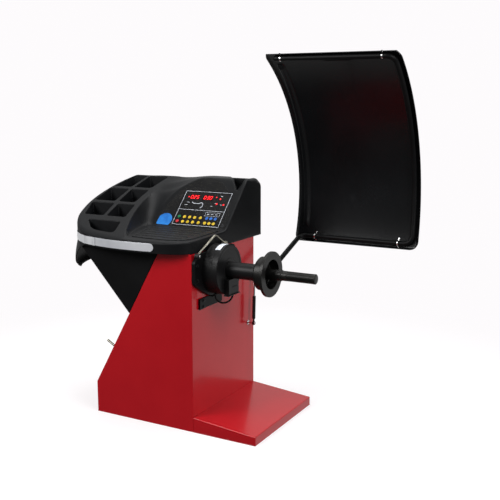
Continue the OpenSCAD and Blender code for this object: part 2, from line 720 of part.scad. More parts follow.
base_plate();
cabinet_shell();
base_extension();
rear_panel();
tray_support();
accessory_pegs();
weight_tray();
ledge_mat();
accent_strip();
panel_overlay();
display_glass();
led_digits();
yellow_keys();
blue_keys();
start_button();
stop_button();
panel_badge();
main_board();
mounting_plate();
plate_bolts();
drum_housing();
drum_cover();
drum_label();
terminal_box();
sensor_cable();
lower_bracket();
bracket_bolts();
bearing_housing();
front_bearing();
rear_bearing();
spindle_shaft();
hub_flange();
spindle_pulley();
encoder_disc();
encoder_reader();
piezo_sensors();
drive_belt();
motor();
motor_bracket();
motor_rotor();
power_board();
transformer();
gauge_bush();
gauge_carriage();
gauge_rod();
gauge_arm();
gauge_knob();
hood_bearing();
hood_shaft();
hood_crank();
hood_tube();
hood_shell();
hood_clips();
strut_stud();
strut_cylinder();
strut_rod();
power_switch();
mains_inlet();
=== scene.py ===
"""Looks of the wheel balancer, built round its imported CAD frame. Row frame, metres."""

import json
import math

import bmesh
import bpy
import numpy as np
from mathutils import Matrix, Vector
from mathutils.geometry import delaunay_2d_cdt


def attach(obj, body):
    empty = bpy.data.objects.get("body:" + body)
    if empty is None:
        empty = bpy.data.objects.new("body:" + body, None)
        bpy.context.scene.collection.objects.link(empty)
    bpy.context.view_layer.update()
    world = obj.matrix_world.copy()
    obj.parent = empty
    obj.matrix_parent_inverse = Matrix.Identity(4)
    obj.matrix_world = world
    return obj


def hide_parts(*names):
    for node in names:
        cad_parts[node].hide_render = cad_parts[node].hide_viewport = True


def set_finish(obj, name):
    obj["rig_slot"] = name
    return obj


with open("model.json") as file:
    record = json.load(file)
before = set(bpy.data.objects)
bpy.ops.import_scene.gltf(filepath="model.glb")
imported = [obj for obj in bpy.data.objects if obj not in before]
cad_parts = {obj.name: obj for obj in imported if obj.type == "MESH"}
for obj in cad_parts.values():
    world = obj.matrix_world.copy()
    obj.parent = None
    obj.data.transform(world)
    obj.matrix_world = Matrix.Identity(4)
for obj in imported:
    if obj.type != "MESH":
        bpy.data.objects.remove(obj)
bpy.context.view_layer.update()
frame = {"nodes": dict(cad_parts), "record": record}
scene = bpy.context.scene
RECORD = frame["record"]
SLOT_OF = {s["node"]: s["material_slot"] for s in RECORD["subparts"]}
MATERIALS = {}

AXIS = Vector((0, 0, 0.6595))        # a point on the spindle axis
PIVOT = Vector((0.085, 0.334, 0.577))  # hood hinge
CRANK = Vector((0.030, PIVOT.y - 0.017, PIVOT.z + 0.029))  # top pin of the gas strut
HOOD_C = (-0.099, 0.867)             # centre of the hood's arc, Y and Z
FRONT, BACK = -0.152, 0.360
LEFT, LEAN_FROM, TOP = -0.494, 0.136, 0.738  # cabinet: left foot, start of its slope, top
LEAN = 0.5639                        # sideways run of that slope for each metre up
TRAY_LOW = 0.461                     # lowest point of the tray's bracket
TILT = math.radians(46.5)
FACE_FOOT = (0.111, 0.796)           # Y and Z where the panel's face begins
PANEL_O = Vector((-0.181, *FACE_FOOT))
FILM, PRINT = 0.0012, 0.0019         # printing on the panel: where it starts, its usual top


# ---- materials


def srgb(r, g, b):
    """Linear colour from a display colour, each 0 to 255."""
    return tuple(
        (c / 3294.6 if c <= 10 else ((c / 255 + 0.055) / 1.055) ** 2.4) for c in (r, g, b)
    ) + (1,)


def wiring(tree):
    """Two helpers for a node tree: one adds a node with its values, one links two sockets."""
    def node(kind, **values):
        n = tree.nodes.new("ShaderNode" + kind)
        for key, value in values.items():
            n.inputs[key.replace("_", " ")].default_value = value
        return n

    def link(a, out, b, inp):
        tree.links.new(a.outputs[out], b.inputs[inp])

    return node, link


def finish(slot, dark, light, rough, metal=0.0, patch=6.0, grain=500.0, bump=0.1,
           stretch=(1, 1, 1), coat=0.0, spec=0.5, specks=None, glow=None):
    """A material whose colour and roughness wander over the surface, with a fine grain."""
    mat = bpy.data.materials.new(slot)
    mat.use_nodes = True
    mat.node_tree.nodes.clear()
    node, link = wiring(mat.node_tree)

    def ramp_of(first, last, low, high):
        ramp = node("ValToRGB")
        for stop, at, colour in zip(ramp.color_ramp.elements, (first, last), (low, high)):
            stop.position, stop.color = at, colour
        return ramp

    output = node("OutputMaterial")
    shader = node("BsdfPrincipled", Metallic=metal, Specular_IOR_Level=spec, Coat_Weight=coat,
                  Coat_Roughness=0.06)
    link(shader, "BSDF", output, "Surface")
    place = node("TexCoord")
    mapping = node("Mapping", Scale=stretch)
    link(place, "Object", mapping, "Vector")
    broad = node("TexNoise", Scale=patch, Detail=4.0, Roughness=0.6)
    fine = node("TexNoise", Scale=grain, Detail=3.0)
    link(mapping, "Vector", broad, "Vector")
    link(mapping, "Vector", fine, "Vector")
    ramp = ramp_of(0.3, 0.7, srgb(*dark), srgb(*light))
    link(broad, "Fac", ramp, "Fac")
    if specks:
        dots = node("TexVoronoi", Scale=specks[1])
        link(mapping, "Vector", dots, "Vector")
        pick = ramp_of(0.10, 0.17, (1, 1, 1, 1), (0, 0, 0, 1))
        link(dots, "Distance", pick, "Fac")
        colour = node("Mix")
        colour.data_type = "RGBA"
        link(pick, "Color", colour, 0)
        link(ramp, "Color", colour, 6)
        colour.inputs[7].default_value = srgb(*specks[0])
        link(colour, 2, shader, "Base Color")
    else:
        link(ramp, "Color", shader, "Base Color")
    spread = node("MapRange", To_Min=rough[0], To_Max=rough[1])
    link(broad, "Fac", spread, "Value")
    link(spread, "Result", shader, "Roughness")
    ripple = node("Bump", Strength=bump, Distance=0.0004)
    link(fine, "Fac", ripple, "Height")
    link(ripple, "Normal", shader, "Normal")
    if glow:
        shader.inputs["Emission Color"].default_value = srgb(*glow[0])
        shader.inputs["Emission Strength"].default_value = glow[1]
    MATERIALS[slot] = mat


def make_materials():
    finish("red_paint", (184, 13, 26), (194, 19, 30), (0.19, 0.27), grain=90, bump=0.03,
           patch=3, coat=0.2, spec=0.34)
    finish("black_paint", (8, 8, 9), (14, 14, 15), (0.4, 0.55), grain=700, bump=0.15, spec=0.16)
    finish("tray_plastic", (13, 14, 16), (20, 21, 23), (0.42, 0.54), grain=1300, bump=0.25,
           patch=9, spec=0.17)
    finish("strip_metal", (196, 199, 206), (244, 245, 248), (0.28, 0.38), metal=0.2,
           stretch=(0.05, 0.05, 0.05), patch=60, grain=900, bump=0.06)
    finish("panel_film", (12, 12, 13), (19, 19, 20), (0.34, 0.5), grain=600, spec=0.2,
           specks=((120, 118, 108), 260))
    finish("display_window", (26, 6, 8), (38, 8, 10), (0.12, 0.2), bump=0.02)
    finish("led_red", (225, 12, 22), (255, 30, 36), (0.3, 0.4), glow=((255, 20, 28), 1.3))
    for key, dark, light in (("yellow", (196, 164, 26), (226, 190, 48)),
                             ("blue", (28, 84, 168), (50, 112, 200)),
                             ("green", (16, 104, 62), (30, 130, 80)),
                             ("red", (176, 22, 34), (206, 40, 50))):
        finish("key_" + key, dark, light, (0.3, 0.42), patch=60)
    finish("badge_blue", (20, 92, 172), (40, 132, 214), (0.3, 0.4), patch=30, bump=0.02)
    finish("circuit_board", (14, 66, 34), (26, 92, 48), (0.4, 0.6), patch=60)
    finish("black_bolt", (34, 34, 35), (60, 60, 62), (0.32, 0.5), metal=0.8, patch=60)
    finish("black_casting", (15, 15, 16), (23, 23, 24), (0.38, 0.52), grain=420, bump=0.3,
           spec=0.24)
    finish("label_white", (206, 212, 224), (232, 236, 244), (0.4, 0.55), patch=40, bump=0.03)
    finish("box_plastic", (14, 14, 15), (23, 23, 24), (0.38, 0.55), grain=900, bump=0.2, spec=0.26)
    finish("cable_rubber", (9, 9, 10), (16, 16, 17), (0.5, 0.68), grain=900, bump=0.2, spec=0.2)
    finish("bearing_steel", (176, 176, 174), (204, 204, 202), (0.2, 0.34), metal=1, patch=40)
    finish("black_steel", (24, 24, 24), (40, 39, 37), (0.32, 0.46), metal=0.6,
           patch=26, grain=700, bump=0.25)
    finish("aluminium", (168, 170, 172), (196, 198, 200), (0.3, 0.46), metal=1, patch=30)
    finish("copper_winding", (150, 84, 38), (190, 116, 60), (0.3, 0.4), metal=0.9,
           stretch=(1, 1, 8), patch=60)
    finish("zinc", (150, 146, 132), (190, 186, 172), (0.26, 0.42), metal=1, patch=50)
    finish("hood_plastic", (12, 13, 14), (18, 19, 21), (0.22, 0.3), grain=40, bump=0.04,
           patch=3, spec=0.32, coat=0.06)
    finish("chrome", (205, 205, 205), (235, 235, 235), (0.08, 0.18), metal=1, patch=40)
    finish("strut_black", (13, 13, 14), (20, 20, 21), (0.12, 0.22), patch=30, coat=0.4)


# ---- mesh helpers


def build(name, verts, faces, body, slot, stands_for=(), bevel=0.0, segments=3, angle=32):
    """One closed piece from its faces, smooth shaded, on its body."""
    mesh = bpy.data.meshes.new(name)
    mesh.from_pydata([tuple(v) for v in verts], [], [list(f) for f in faces])
    bm = bmesh.new()
    bm.from_mesh(mesh)
    bmesh.ops.remove_doubles(bm, verts=bm.verts, dist=1e-6)
    bmesh.ops.dissolve_degenerate(bm, edges=bm.edges, dist=1e-7)
    bmesh.ops.recalc_face_normals(bm, faces=bm.faces)
    for f in bm.faces:
        f.smooth = True
    bm.to_mesh(mesh)
    bm.free()
    obj = bpy.data.objects.new(name, mesh)
    scene.collection.objects.link(obj)
    mesh.materials.append(MATERIALS[slot])
    if bevel:
        edge = obj.modifiers.new("Edges", "BEVEL")
        edge.width = bevel
        edge.segments = segments
        edge.limit_method = "ANGLE"
        edge.angle_limit = math.radians(angle)
    normals = obj.modifiers.new("Normals", "WEIGHTED_NORMAL")
    normals.keep_sharp = True
    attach(obj, body)
    if stands_for:
        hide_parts(*stands_for)
    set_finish(obj, slot)
    return obj


def joined(*shapes):
    """(verts, faces) of several shapes as one."""
    verts, faces = [], []
    for v, f in shapes:
        faces += [[i + len(verts) for i in face] for face in f]
        verts += list(v)
    return verts, faces


def mm(points):
    return [tuple(c * 0.001 for c in p) for p in points]


def plan(points):
    """Vectors as rows of an array."""
    return np.array([tuple(p) for p in points])


def loft(count, n):
    """Faces between rings of n points each, with a cap at either end."""
    faces = [(i * n + k, i * n + (k + 1) % n, (i + 1) * n + (k + 1) % n, (i + 1) * n + k)
             for i in range(count - 1) for k in range(n)]
    return faces + [list(range(n))[::-1], list(range((count - 1) * n, count * n))]


def used_only(verts, faces):
    """A shape without the points that none of its faces uses."""
    used = sorted({i for f in faces for i in f})
    new = {old: i for i, old in enumerate(used)}
    return [verts[i] for i in used], [[new[i] for i in f] for f in faces]


def stations(total, corner, ends, rows):
    """Places along a length, drawn together where its two ends are rounded."""
    turn = 1 - np.cos(np.linspace(0, math.pi / 2, ends))
    return np.concatenate([corner * turn[:-1], np.linspace(corner, total - corner, rows),
                           total - corner * turn[::-1][1:]])


def rectangle(x0, y0, x1, y1):
    return [(x0, y0), (x1, y0), (x1, y1), (x0, y1)]


def sleeve(start, end, radius, bore=0):
    """Outline of a plain pin or sleeve, as (along, radius) points."""
    return [(start, bore), (start, radius), (end, radius), (end, bore)]


def rounded(points, radius, closed=True, steps=4):
    """A polyline with its corners rounded; radius is one number or one for each corner."""
    pts = [Vector(p) for p in points]
    out = []
    for i, p in enumerate(pts):
        r = radius[i] if isinstance(radius, (list, tuple)) else radius
        if r <= 0 or (not closed and i in (0, len(pts) - 1)):
            out.append(p)
            continue
        u, v = pts[i - 1] - p, pts[(i + 1) % len(pts)] - p
        d = min(r, u.length * 0.49, v.length * 0.49)
        start, end = p + u.normalized() * d, p + v.normalized() * d
        for k in range(steps + 1):
            t = k / steps
            out.append(start * (1 - t) ** 2 + p * (2 * t * (1 - t)) + end * t * t)
    return out


def across(axis):
    """Two directions square to an axis."""
    n = Vector(axis).normalized()
    ref = Vector((0, 0, 1)) if abs(n.z) < 0.9 else Vector((0, 1, 0))
    u = ref.cross(n).normalized()
    return n, u, n.cross(u)


def spun(profile, origin, axis=(1, 0, 0), sides=64, shape=None):
    """A closed outline of (along, radius) points turned about an axis."""
    n, u, v = across(axis)
    o = Vector(origin)
    count = len(profile)
    verts, faces = [], []
    for k in range(sides):
        a = 2 * math.pi * k / sides
        d = u * math.cos(a) + v * math.sin(a)
        for s, r in profile:
            verts.append(o + n * s + d * (r * (shape(a, s) if shape else 1)))
    for k in range(sides):
        j = (k + 1) % sides
        for i in range(count):
            m = (i + 1) % count
            faces.append((k * count + i, k * count + m, j * count + m, j * count + i))
    return verts, faces


def turned(points, soft, origin, axis=(1, 0, 0), sides=64, steps=4, shape=None):
    """An outline in millimetres, its corners rounded, turned about an axis."""
    radii = [r * 0.001 for r in soft] if isinstance(soft, list) else soft * 0.001
    return spun(rounded(mm(points), radii, steps=steps), origin, axis, sides, shape)


def prism(outline, place, low, high):
    """A flat outline with thickness; place(u, v, w) gives the point in space."""
    n = len(outline)
    verts = [place(p[0], p[1], low) for p in outline] + [place(p[0], p[1], high) for p in outline]
    faces = [list(range(n))[::-1], list(range(n, 2 * n))]
    faces += [(i, (i + 1) % n, n + (i + 1) % n, n + i) for i in range(n)]
    return verts, faces


def block(lo, hi):
    """A box, for a bevel to soften."""
    return prism(rectangle(*lo[:2], *hi[:2]), lambda *p: Vector(p), lo[2], hi[2])


def yz(u, v, w):
    return Vector((w, u, v))


def xz(u, v, w):
    return Vector((u, w, v))


def tube(path, section, start_ref):
    """A section, as (a, b) offsets, carried along a path without twist."""
    pts = [Vector(p) for p in path]
    t = (pts[1] - pts[0]).normalized()
    u = Vector(start_ref) - t * t.dot(Vector(start_ref))
    u.normalize()
    verts = []
    for i, p in enumerate(pts):
        new = (pts[min(i + 1, len(pts) - 1)] - pts[max(i - 1, 0)]).normalized()
        u = (u - new * new.dot(u)).normalized()
        w = new.cross(u)
        verts += [p + u * a + w * b for a, b in section]
    return verts, loft(len(pts), len(section))


def circle(r, sides=20):
    return [(r * math.cos(2 * math.pi * k / sides), r * math.sin(2 * math.pi * k / sides))
            for k in range(sides)]


def hexagon(origin, axis, r, height, washer=0.0):
    """A bolt head with a washer and a chamfered hexagon."""
    n, u, v = across(axis)
    o = Vector(origin)
    thick = 0.0014
    disc = spun(rounded(sleeve(0, thick, washer), [0, 0.0003, 0.0003, 0], steps=2), o, axis, 32)
    verts = [o + n * s + (u * math.cos(a) + v * math.sin(a)) * r * k
             for s, k in ((thick, 1.0), (height - 0.0008, 1.0), (height, 0.84))
             for a in [math.pi * i / 3 for i in range(6)]]
    return joined(disc, (verts, loft(3, 6)))


# ---- cabinet and base


def sheet_box(name, outline, open_edges, slot, stands_for, fold=0.003, sheet=0.002):
    """A folded sheet box over an outline; the walls or the back named as open are left out."""
    n = len(outline)
    verts = [xz(p[0], p[1], FRONT) for p in outline] + [xz(p[0], p[1], BACK) for p in outline]
    faces = [list(range(n))]
    if "back" not in open_edges:
        faces.append(list(range(n, 2 * n))[::-1])
    faces += [(i, (i + 1) % n, n + (i + 1) % n, n + i) for i in range(n) if i not in open_edges]
    obj = build(name, verts, faces, "root", slot, stands_for, bevel=fold, segments=4)
    solid = obj.modifiers.new("Sheet", "SOLIDIFY")
    solid.thickness = sheet
    solid.offset = -1
    obj.modifiers.move(len(obj.modifiers) - 1, 1)
    return obj


def left_side(z):
    """X of the cabinet's sloping left side at a height."""
    return LEFT + (z - LEAN_FROM) * LEAN


def cabinet():
    sheet, right, tip, top = 0.003, 0.287, left_side(TRAY_LOW), left_side(TOP)
    sheet_box("cabinet_sheet",
              [(0, sheet), (0, TOP), (top, TOP), (LEFT, LEAN_FROM), (LEFT, sheet)],
              {1, 4, "back"}, "red_paint", ["cabinet_shell"])
    sheet_box("base_sheet",
              [(0.0006, 0.0034), (0.0006, 0.063), (right, 0.0375), (right, 0.0034)],
              {0, 3}, "red_paint", ["base_extension"], fold=0.004)
    bracket = [(tip - 0.0003, TRAY_LOW), (top - 0.0003, TOP), (tip - 0.277 * 0.9175, TOP)]
    build("tray_bracket", *prism(bracket, xz, FRONT + 0.0005, BACK - 0.0005), "root",
          "black_paint", ["tray_support"], bevel=0.003)
    build("floor_plate", *block((LEFT, FRONT, 0), (right, BACK, sheet)), "root", "red_paint",
          ["base_plate"], bevel=0.0006)


def pegs():
    lean = math.atan(LEAN)
    away = (-math.cos(lean), 0, math.sin(lean))
    shapes = []
    for y in (-0.062, 0.098, 0.258):
        foot = (-0.427, y, 0.255)
        shapes += [turned(sleeve(0, 85.8, 5), [0, 0, 4, 0], foot, away, 28),
                   turned(sleeve(0, 8, 8.8), [0, 0.5, 1.2, 0], foot, away, 6)]
    build("side_pegs", *joined(*shapes), "root", "zinc", ["accessory_pegs"])


# ---- tray


def curve(a, b, c, n):
    """Curve from a to c pulled towards b, without its last point."""
    a, b, c = Vector(a), Vector(b), Vector(c)
    return [a * (1 - t) ** 2 + b * (2 * t * (1 - t)) + c * t * t for t in np.arange(n) / n]


def rim_outline():
    corner = rounded(mm([(4, 380), (4, 428), (-60, 428)]), [0, 0.010, 0], closed=False, steps=6)
    right = [Vector((0.004, y)) for y in np.arange(-0.100, 0.380, 0.02)]
    back = [Vector((x, 0.428)) for x in np.arange(-0.080, -0.670, -0.02)]
    bends = mm([(-672, 428), (-688, 424), (-691, 408), (-724, 330), (-727, 240), (-735, 110),
                (-674, -20), (-608, -136), (-500, -182), (-330, -240), (-121, -203), (4, -185),
                (4, -100)])
    left = [p for i, n in enumerate((4, 12, 16, 16, 20, 18))
            for p in curve(*bends[2 * i:2 * i + 3], n)]
    return plan(right + corner + back + left)


def inset(poly, d):
    """An anticlockwise outline moved inwards by d."""
    p = np.asarray(poly, float)
    e = np.roll(p, -1, 0) - p
    e /= np.linalg.norm(e, axis=1)[:, None]
    n2 = np.stack([-e[:, 1], e[:, 0]], 1)
    n1 = np.roll(n2, 1, 0)
    m = n1 + n2
    m /= np.linalg.norm(m, axis=1)[:, None]
    return p + m * (d / (m * n1).sum(1))[:, None]


def depth_in(poly, pts):
    """Distance from each point to an outline, positive inside it."""
    a = np.asarray(poly, float)
    b = np.roll(a, -1, 0)
    best = np.full(len(pts), 9.0)
    inside = np.zeros(len(pts), bool)
    for (x0, y0), (x1, y1) in zip(a, b):
        dx, dy = x1 - x0, y1 - y0
        t = np.clip(((pts[:, 0] - x0) * dx + (pts[:, 1] - y0) * dy) / (dx * dx + dy * dy), 0, 1)
        best = np.minimum(best, np.hypot(pts[:, 0] - x0 - t * dx, pts[:, 1] - y0 - t * dy))
        if y0 != y1:
            cross = (y0 > pts[:, 1]) != (y1 > pts[:, 1])
            inside ^= cross & (pts[:, 0] < dx * (pts[:, 1] - y0) / dy + x0)
    return np.where(inside, best, -best)


def ease(t):
    t = np.clip(t, 0, 1)
    return t * t * (3 - 2 * t)


def soft_min(a, b, k):
    h = np.clip(0.5 + (b - a) / (2 * k), 0, 1)
    return b * (1 - h) + a * h - k * h * (1 - h)


def deck(y):
    return 0.787 + 0.313 * (y + 0.197)


def ledge(y):
    """Height of the flat ledge in front of the panel."""
    return 0.788 + 0.028 * (y + 0.172)


def low_side(y):
    """Height of the ledge, the panel face and the flat top behind it."""
    face = FACE_FOOT[1] + (y - FACE_FOOT[0]) * math.tan(TILT)
    z = -soft_min(-ledge(y), -face, 0.006)
    z = soft_min(z, np.full_like(z, 0.996), 0.014)
    over = np.clip((y - 0.385) / 0.044, 0, 0.98)
    return z - 0.046 * (1 - np.sqrt(1 - over ** 2))


EDGE = np.array([tuple(p) for p in curve(*mm([(-301, -172), (-455, 60), (-466, 330)]), 40)]
                + mm([(-466, 330), (-452, 380), (-440, 430)]))
INNER = np.array(mm([(-301, -172), (-336, -100), (-372, 0), (-387, 63), (-378, 90), (-361, 112),
                     (-361, 176), (-354, 206), (-338, 232), (-310, 258), (-275, 278), (-240, 292),
                     (-215, 310), (-200, 430)]))
POCKETS = [mm(p) for p in (
    [(-500, -146), (-372, -162), (-411, -62), (-587, -62)],
    [(-643, -18), (-538, -18), (-571, 102), (-694, 102)],
    [(-521, -18), (-421, -18), (-457, 102), (-549, 102)],
    [(-700, 125), (-586, 125), (-604, 257), (-709, 257)],
    [(-564, 125), (-476, 125), (-492, 257), (-589, 257)],
    [(-705, 280), (-608, 280), (-608, 410), (-681, 410)],
    [(-592, 280), (-496, 280), (-488, 410), (-592, 410)],
    [(-24, 256), (-14, 406), (-146, 406)])]
POCKET_ROUND = [(0.040, 0.030, 0.012, 0.022)] + [(0.012,) * 4] * 6 + [(0.008,) * 3]
LIP, WALL_RUN, FOOT = 0.003, 0.0016, 0.007
MAT_DEEP = 0.0072                    # depth of the recess for the mat, and of its grooves
LOOP_STEPS = (-0.0031, -0.0022, -0.001, 0.0, 0.0016, 0.0024, 0.004, 0.006, 0.0087)


def surface(x, y):
    """Height of the tray without pockets or its rounded shoulder."""
    edge_x = np.interp(y, EDGE[:, 1], EDGE[:, 0])
    inner_x = np.interp(y, INNER[:, 1], INNER[:, 0])
    s = x - edge_x
    soft = 0.0016
    ramp = np.where(s < -soft, 0, np.where(s > soft, s, (s + soft) ** 2 / (4 * soft)))
    t = np.clip(ramp / np.maximum(inner_x - edge_x, 0.005), 0, 1)
    high, low = deck(y), low_side(y)
    steep = (1 - t) ** (1.7 + 1.3 * ease((y - 0.05) / 0.12))
    gentle = 1 - ease(t)
    part = ease((high - low) / 0.05 * 0.5 + 0.5)
    z = low + (high - low) * (gentle + (steep - gentle) * part)
    hollow = 0.016 * ease((y - 0.12) / 0.1) * (1 - ease((y - 0.27) / 0.08))
    return z - hollow * 4 * t * (1 - t)


def pocket_cut(z, pts, shape, floor):
    """Sinks a pocket with a rounded lip and a rounded foot."""
    d = depth_in(shape, pts)
    lip = np.clip((d + LIP) / LIP, 0, 1)
    top = z - LIP * (1 - np.sqrt(1 - lip ** 2))
    wall = np.clip(d / WALL_RUN, 0, 1)
    out = top + (floor + FOOT - top) * wall
    foot = np.clip((d - WALL_RUN) / FOOT, 0, 1)
    curve_z = floor + FOOT * (1 - np.sqrt(1 - (1 - foot) ** 2))
    out = np.where(d > WALL_RUN, curve_z, out)
    return np.where(d > -LIP, out, z)


def shoulder(rim, pts):
    """How far the surface drops near the rim; wide and low in front, tight at the right."""
    d = np.maximum(depth_in(rim, pts), 0)
    x, y = pts[:, 0], pts[:, 1]
    front = ease((-0.10 - y) / 0.06) * ease((-0.004 - x) / 0.05)
    left = ease((-0.52 - x) / 0.08)
    corner = ease((y - 0.28) / 0.08) * ease((x + 0.06) / 0.05)
    run = 0.006 + 0.022 * front * (1 - left) + 0.010 * left + 0.018 * corner
    drop = 0.006 + 0.004 * front * (1 - left) + 0.005 * left + 0.014 * corner
    k = np.clip(1 - d / run, 0, 1)
    return drop * (1 - np.sqrt(1 - k ** 2))


def plan_mesh(rim, loops, step, clear):
    """Triangles over a plan outline that follow every loop; returns points and faces."""
    pts, edges = [], []
    for loop in [rim] + loops:
        base = len(pts)
        pts += [tuple(p) for p in loop]
        edges += [(base + i, base + (i + 1) % len(loop)) for i in range(len(loop))]
    known = np.array(pts)
    lo, hi = known.min(0), known.max(0)
    gx, gy = np.meshgrid(np.arange(lo[0], hi[0], step), np.arange(lo[1], hi[1], step))
    grid = np.stack([gx.ravel(), gy.ravel()], 1)
    grid = grid[depth_in(rim, grid) > clear]
    near = np.array([np.hypot(*(known - g).T).min() for g in grid])
    grid = grid[near > clear]
    pts += [tuple(g) for g in grid]
    made = delaunay_2d_cdt([Vector(p) for p in pts], edges, [], 0, 1e-7)
    flat = np.array([tuple(v) for v in made[0]])
    faces = [f for f in made[2] if len(f) >= 3]
    mid = np.array([flat[list(f)].mean(0) for f in faces])
    keep = depth_in(rim, mid) > 0
    return flat, [f for f, k in zip(faces, keep) if k]


def nearest(flat, ring):
    """Index of the mesh point at each point of a ring."""
    return [int(np.hypot(*(flat - p).T).argmin()) for p in ring]


def tray_height(rim, pts, shapes):
    z = surface(pts[:, 0], pts[:, 1])
    z = z - MAT_DEEP * ease((depth_in(mat_rim(), pts) - 0.001) / 0.006)
    z = z - shoulder(rim, pts)
    for shape, corners in zip(shapes, POCKETS):
        in_corner = len(corners) == 3
        floor = 0.936 if in_corner else deck(corners[0][1]) - 0.040
        z = pocket_cut(z, pts, shape, floor)
    return z


def bulge(z):
    """How far the left skirt swells out below the rim."""
    up = np.clip((0.741 - z) / 0.089, 0, 1)
    tuck = np.clip((0.652 - z) / 0.038, 0, 1)
    return 0.0130 * np.sin(up * math.pi / 2) - 0.022 * tuck ** 2


def skirt_foot(x):
    t = np.clip((x + 0.632) / 0.128, 0, 1)
    return 0.7384 - 0.1225 * (1 - t) ** 2


def tray():
    rim = rim_outline()
    shapes = [plan(rounded(c, r, steps=6)) for c, r in zip(POCKETS, POCKET_ROUND)]
    wall = 0.004
    loops = [inset(rim, d) for d in (0.0008, 0.0022, wall, 0.0075, 0.012, 0.018, 0.025)]
    for shape in shapes:
        loops += [inset(shape, d) for d in LOOP_STEPS]
    for d in (-0.004, -0.0013, 0.0013, 0.004):
        line = EDGE[(EDGE[:, 1] > -0.120) & (EDGE[:, 1] < 0.39)] + [d, 0]
        loops.append(np.concatenate([line, line[::-1][1:-1] + [0.0004, 0]]))
    flat, faces = plan_mesh(rim, loops, 0.0085, 0.0028)
    z = tray_height(rim, flat, shapes)
    inner = inset(rim, wall)
    outer_id, inner_id = nearest(flat, rim), nearest(flat, inner)
    verts = [Vector((p[0], p[1], h)) for p, h in zip(flat, z)]
    out = [list(f) for f in faces]
    mid = np.array([flat[list(f)].mean(0) for f in faces])
    below = depth_in(rim, mid) > wall
    under = len(verts)
    verts += [Vector((p[0], p[1], h - wall)) for p, h in zip(flat, z)]
    out += [[under + i for i in f][::-1] for f, k in zip(faces, below) if k]
    outward = rim - inset(rim, 0.001)
    outward /= np.linalg.norm(outward, axis=1)[:, None]
    levels = 18
    foot = skirt_foot(rim[:, 0])
    columns = []
    for ids, loop, drop in ((outer_id, rim, 0.0), (inner_id, inner, wall)):
        column = []
        for i, p in enumerate(loop):
            top = z[ids[i]] - drop
            row = [ids[i] + (under if drop else 0)]
            for k in range(1, levels + 1):
                h = top + (foot[i] - top) * k / levels
                q = p + outward[i] * bulge(h)
                row.append(len(verts))
                verts.append(Vector((q[0], q[1], h)))
            column.append(row)
        columns.append(column)
    for i in range(len(rim)):
        j = (i + 1) % len(rim)
        (a, b), (c, d) = ((column[i], column[j]) for column in columns)
        for k in range(levels):
            out += [[a[k], a[k + 1], b[k + 1], b[k]], [c[k], d[k], d[k + 1], c[k + 1]]]
        out.append([a[-1], c[-1], d[-1], b[-1]])
    build("tray_moulding", *used_only(verts, out), "root", "tray_plastic", ["weight_tray"])


def mat_rim():
    return plan(rounded(mm([(-286, -158), (-120, -166), (-46, -146), (-22, -92), (-20, 100),
                            (-352, 100), (-368, 52)]), 0.016, steps=5))


def mat():
    """Ribbed mat let into the ledge, with rounded grooves."""
    rim = mat_rim()
    grooves = [(-0.128 + 0.040 * i, -0.285 - 0.013 * i, -0.060 + 0.004 * min(i, 3))
               for i in range(6)]
    half = 0.008
    shapes = [plan(rounded(rectangle(a, y - half, b, y + half), 0.0079, steps=5))
              for y, a, b in grooves]
    loops = [inset(rim, 0.0012)]
    for s in shapes:
        loops += [inset(s, d) for d in (-0.001, 0.0, 0.001, 0.002)]
    flat, faces = plan_mesh(rim, loops, 0.02, 0.004)
    base = ledge(flat[:, 1])
    top = base + 0.0028 - 0.0012 * (1 - ease(depth_in(rim, flat) / 0.0012))
    for s in shapes:
        top -= MAT_DEEP * ease((depth_in(s, flat) + 0.001) / 0.003)
    n = len(flat)
    verts = [Vector((p[0], p[1], h)) for p, h in zip(flat, top)]
    verts += [Vector((p[0], p[1], min(h, t) - 0.001)) for p, h, t in zip(flat, base, top)]
    ring = nearest(flat, rim)
    out = [list(f) for f in faces] + [[n + i for i in f][::-1] for f in faces]
    out += [[a, n + a, n + b, b] for a, b in zip(ring, ring[1:] + ring[:1])]
    build("ledge_ribs", verts, out, "root", "tray_plastic", ["ledge_mat"])


def strip():
    """Brushed strip round the front left of the rim, with rounded ends."""
    rim = inset(rim_outline(), -0.0019)
    run = [p for p in rim if p[1] < -0.03 and p[0] < -0.14]
    run = np.array(sorted(run, key=lambda p: p[0] - 0.4 * p[1] * (p[0] < -0.5)))
    at = np.concatenate([[0], np.cumsum(np.hypot(*np.diff(run, axis=0).T))])
    low, high, half, near = 0.7454, 0.7784, 0.0165, 0.004
    total = at[-1]
    ring = [(-1, 0.0), (-1, 0.7), (-0.94, 1.0), (0.94, 1.0), (1, 0.7), (1, 0.0)]

    def point(s):
        return np.array([np.interp(s, at, run[:, 0]), np.interp(s, at, run[:, 1])])

    verts = []
    places = stations(total, half, 9, 70)
    for s in places:
        t = Vector((*(point(s + near) - point(s - near)), 0)).normalized()
        out = Vector((t.y, -t.x, 0))
        e = min(s, total - s, half)
        h = half * math.sqrt(max(1 - ((half - e) / half) ** 2, 0.0004))
        verts += [Vector((*point(s), (low + high) / 2 + a * h)) + out * (0.0018 * (b - 1.0))
                  for a, b in ring]
    build("rim_strip", verts, loft(len(places), len(ring)), "root", "strip_metal",
          ["accent_strip"])


# ---- control panel


def on_panel(u, v, w):
    """A point on the panel: u across, v up the slope, w off the face, in metres."""
    c, s = math.cos(TILT), math.sin(TILT)
    return PANEL_O + Vector((u, v * c - w * s, v * s + w * c))


PANEL_N = (0, -math.sin(TILT), math.cos(TILT))


